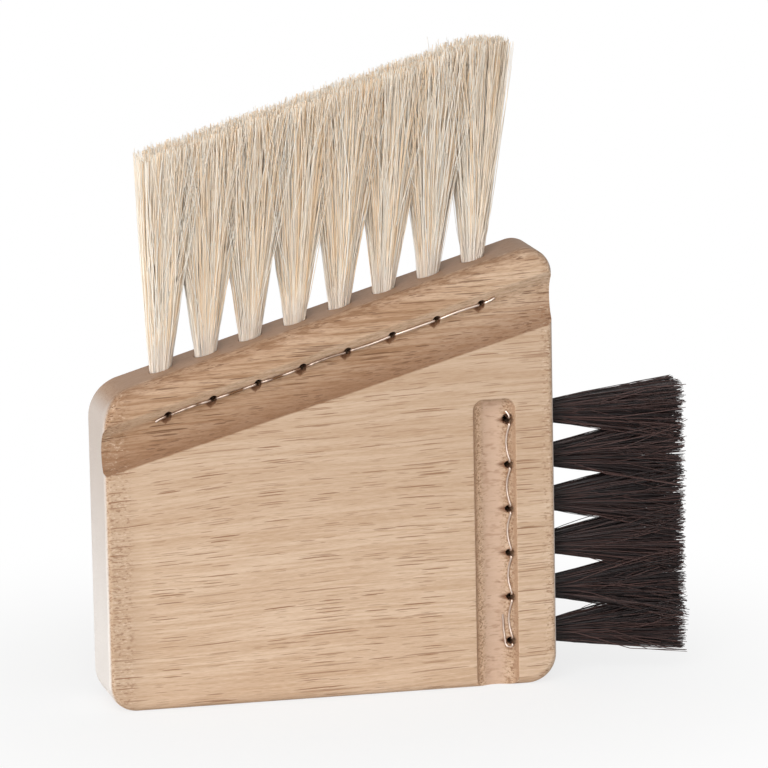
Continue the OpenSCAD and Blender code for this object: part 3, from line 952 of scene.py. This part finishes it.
def hairpin(eye, row, run_y):
    """In from the run, round the fold of the hair, and out again."""
    quarter = math.pi / 2
    turns = [quarter * i / PIN_STEPS for i in range(PIN_STEPS + 1)]
    bend = [(PIN_HALF + PIN_BEND_R * (1 - math.sin(turn)), run_y + PIN_BEND_R * (1 - math.cos(turn)))
            for turn in turns]
    places = [(-across, y) for across, y in bend]
    for i in range(2 * PIN_STEPS + 1):
        turn = 2 * quarter * (1 - i / (2 * PIN_STEPS))
        places.append((PIN_HALF * math.cos(turn), PIN_HALF * (math.sin(turn) - 1)))
    places += bend[::-1]
    return [eye + across * row + Vector((0, y, 0)) for across, y in places]


def top_wire_path():
    """Laid on the groove's wall, with a short end beyond the first and the last hole."""
    run_y = FRONT + lie(TOP_HOLE_INSET)

    def resting(eye, along, ridgeward):
        out = Vector((0, FRONT + lie(TOP_HOLE_INSET - ridgeward), 0))
        return eye + along * ALONG_TOP + ridgeward * OUT_OF_TOP + out

    first, last = light_eyes[0], light_eyes[-1]
    places = [resting(first, -PIN_REACH - WIRE_TAIL, -0.36),
              resting(first, -PIN_REACH - 0.6 * WIRE_TAIL, -0.1)]
    for k, eye in enumerate(light_eyes):
        places += hairpin(eye, ALONG_TOP, run_y)
        if k < LIGHT_COUNT - 1:
            for share in (0.25, 0.5, 0.75):
                sag = 0.2 * math.sin(math.pi * share) * math.sin(2.3 * k + 1)
                places.append(resting(eye, PIN_REACH + share * (LIGHT_PITCH - 2 * PIN_REACH), sag))
    places += [resting(last, PIN_REACH + 0.6 * WIRE_TAIL, 0.1), resting(last, PIN_REACH + WIRE_TAIL, 0.36)]
    return places


def side_wire_path():
    """Laid in the slot, bowed between the holes. Its end comes back up beside the last run."""
    run_y = FRONT + lie(SIDE_HOLE_INSET)
    highest = dark_eyes[0]

    def lying(away, below):
        """A place in the slot: away from the line of holes, and below the highest hole."""
        return Vector((highest[0] - away, FRONT + lie(SIDE_HOLE_INSET + away), highest[2] - below))

    places = [lying(WIRE_BOW, -PIN_REACH - WIRE_TAIL / 2), lying(WIRE_BOW / 3, -PIN_REACH - WIRE_TAIL / 4)]
    for k, eye in enumerate(dark_eyes):
        places += hairpin(eye, -UP, run_y)
        if k < DARK_COUNT - 1:
            for share in (0.15, 0.3, 0.5, 0.7, 0.85):
                places.append(lying(WIRE_BOW * math.sin(math.pi * share),
                                    k * DARK_PITCH + PIN_REACH + share * (DARK_PITCH - 2 * PIN_REACH)))
    last = (DARK_COUNT - 1) * DARK_PITCH
    for away, below in (
            (0.2, last + PIN_REACH + PIN_BEND_R), (0.55, last + PIN_REACH + 0.8 * PIN_BEND_R),
            (0.75, last + PIN_HALF), (0.95, last - 0.3 * DARK_PITCH), (1.0, last - 0.6 * DARK_PITCH)):
        places.append(lying(away * RETURN_GAP, below))
    return places


def drawn_wire():
    """Thin bright wire, tarnished in spots. The left end of the upper wire is the brownest."""
    material, tree = new_material("draw_wire")
    place = tree.place()
    tarnish = tree.noise(tree.scaled(place, 0.5 / MM), 3.0)
    brown = 0.35 + 0.65 * tarnish.rise(0.35, 0.6)
    brown = brown * (1 - 0.75 * tree.add("ShaderNodeSeparateXYZ", None, {0: place}).rise(-0.008, 0.015))
    colour = tree.mix(brown, linear(238, 222, 210), linear(112, 82, 60))
    shader = tree.add("ShaderNodeBsdfPrincipled", None, {
        "Base Color": colour, "Metallic": 1.0, "Roughness": 0.28 + 0.25 * brown})
    tree.add("ShaderNodeOutputMaterial", None, {"Surface": shader})
    return material


wire_metal = drawn_wire()
for node, places in (("top_draw_wire", top_wire_path()), ("side_draw_wire", side_wire_path())):
    curve = bpy.data.curves.new(node, "CURVE")
    curve.dimensions = "3D"
    curve.bevel_depth = WIRE_R * MM
    curve.bevel_resolution = 2
    curve.use_fill_caps = True
    spline = curve.splines.new("POLY")
    spline.points.add(len(places) - 1)
    for point, place in zip(spline.points, places):
        point.co = (*(place * MM), 1)
    route = bpy.data.objects.new("route", curve)
    bpy.context.scene.collection.objects.link(route)
    wire = as_plain_mesh(route, node.replace("draw", "bright"))
    wire.data.materials.append(wire_metal)
    wire.data.shade_smooth()
    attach(wire, "root")
    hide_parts(node)
